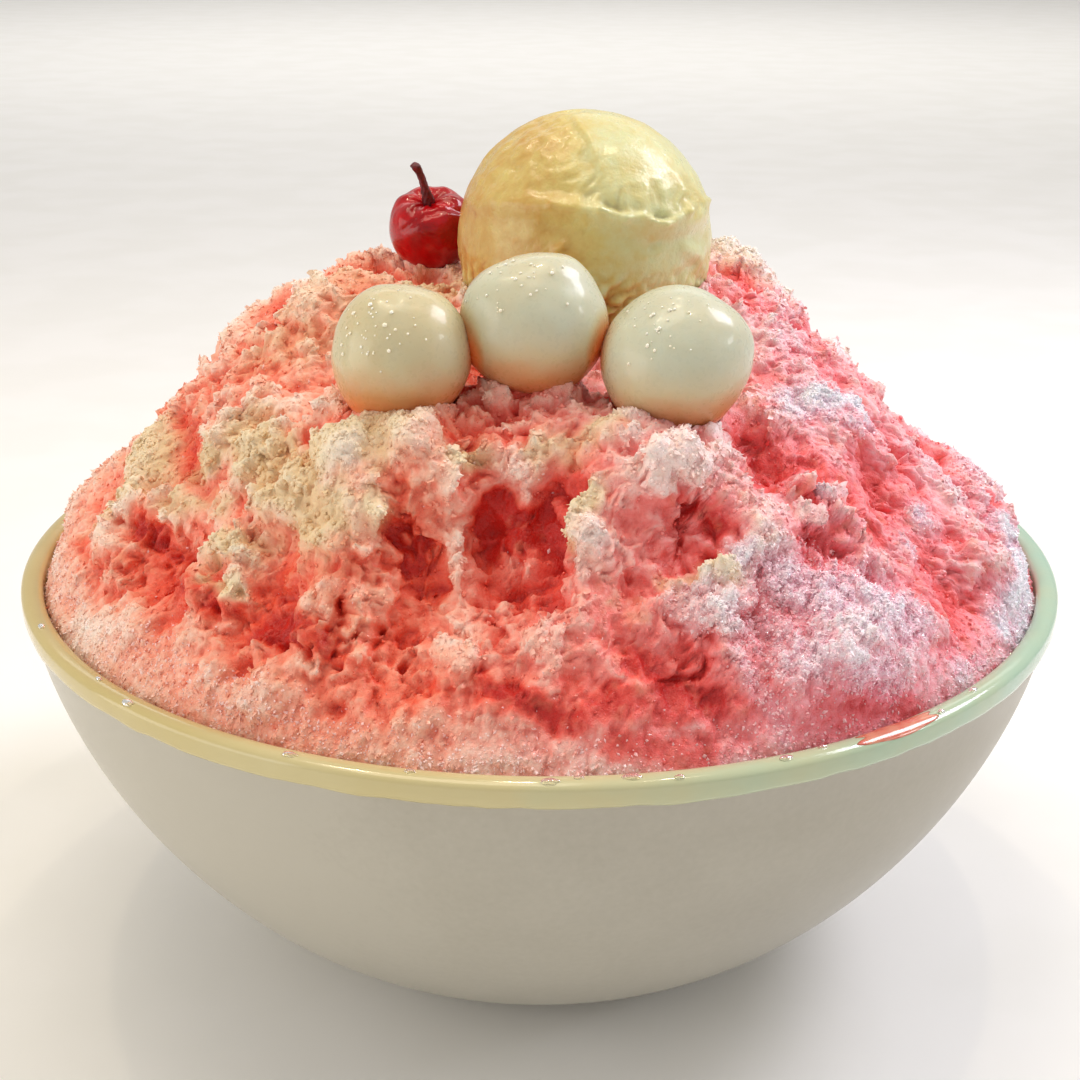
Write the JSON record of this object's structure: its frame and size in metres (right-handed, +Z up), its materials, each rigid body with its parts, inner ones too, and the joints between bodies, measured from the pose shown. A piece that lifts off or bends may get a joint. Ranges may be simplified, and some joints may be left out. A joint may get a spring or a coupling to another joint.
{
  "type": "shaved ice dessert",
  "caption": "Heaped shaved ice with red syrup in a deep round bowl, topped with vanilla ice cream, rice dumplings and a cherry.",
  "frame": {"origin": "centre of the bowl's foot, on the surface that it stands on", "axes": "+Z up out of the bowl; -Y towards the guest, where the dumplings lie in front of the ice cream"},
  "size_m": [0.22, 0.22, 0.1804],
  "materials": {
    "bowl_glaze": "satin white outside, glossy cream glaze inside and over the lip",
    "syrup_ice": "ragged wet shaved ice, deep red in the hollows, pink, cream and white on the crests",
    "vanilla_ice_cream": "smooth melting ice cream, slightly glossy",
    "rice_dumpling": "wet, translucent ivory rice dough",
    "cherry_skin": "dark glossy red, candied",
    "cherry_stalk": "dark maroon, dry"
  },
  "bodies": {
    "root": {"bowl": "bowl_glaze", "shaved_ice": "syrup_ice", "ice_cream_scoop": "vanilla_ice_cream", "dumpling_left": "rice_dumpling", "dumpling_middle": "rice_dumpling", "dumpling_right": "rice_dumpling", "cherry": "cherry_skin", "cherry_stem": "cherry_stalk"}
  },
  "joints": []
}
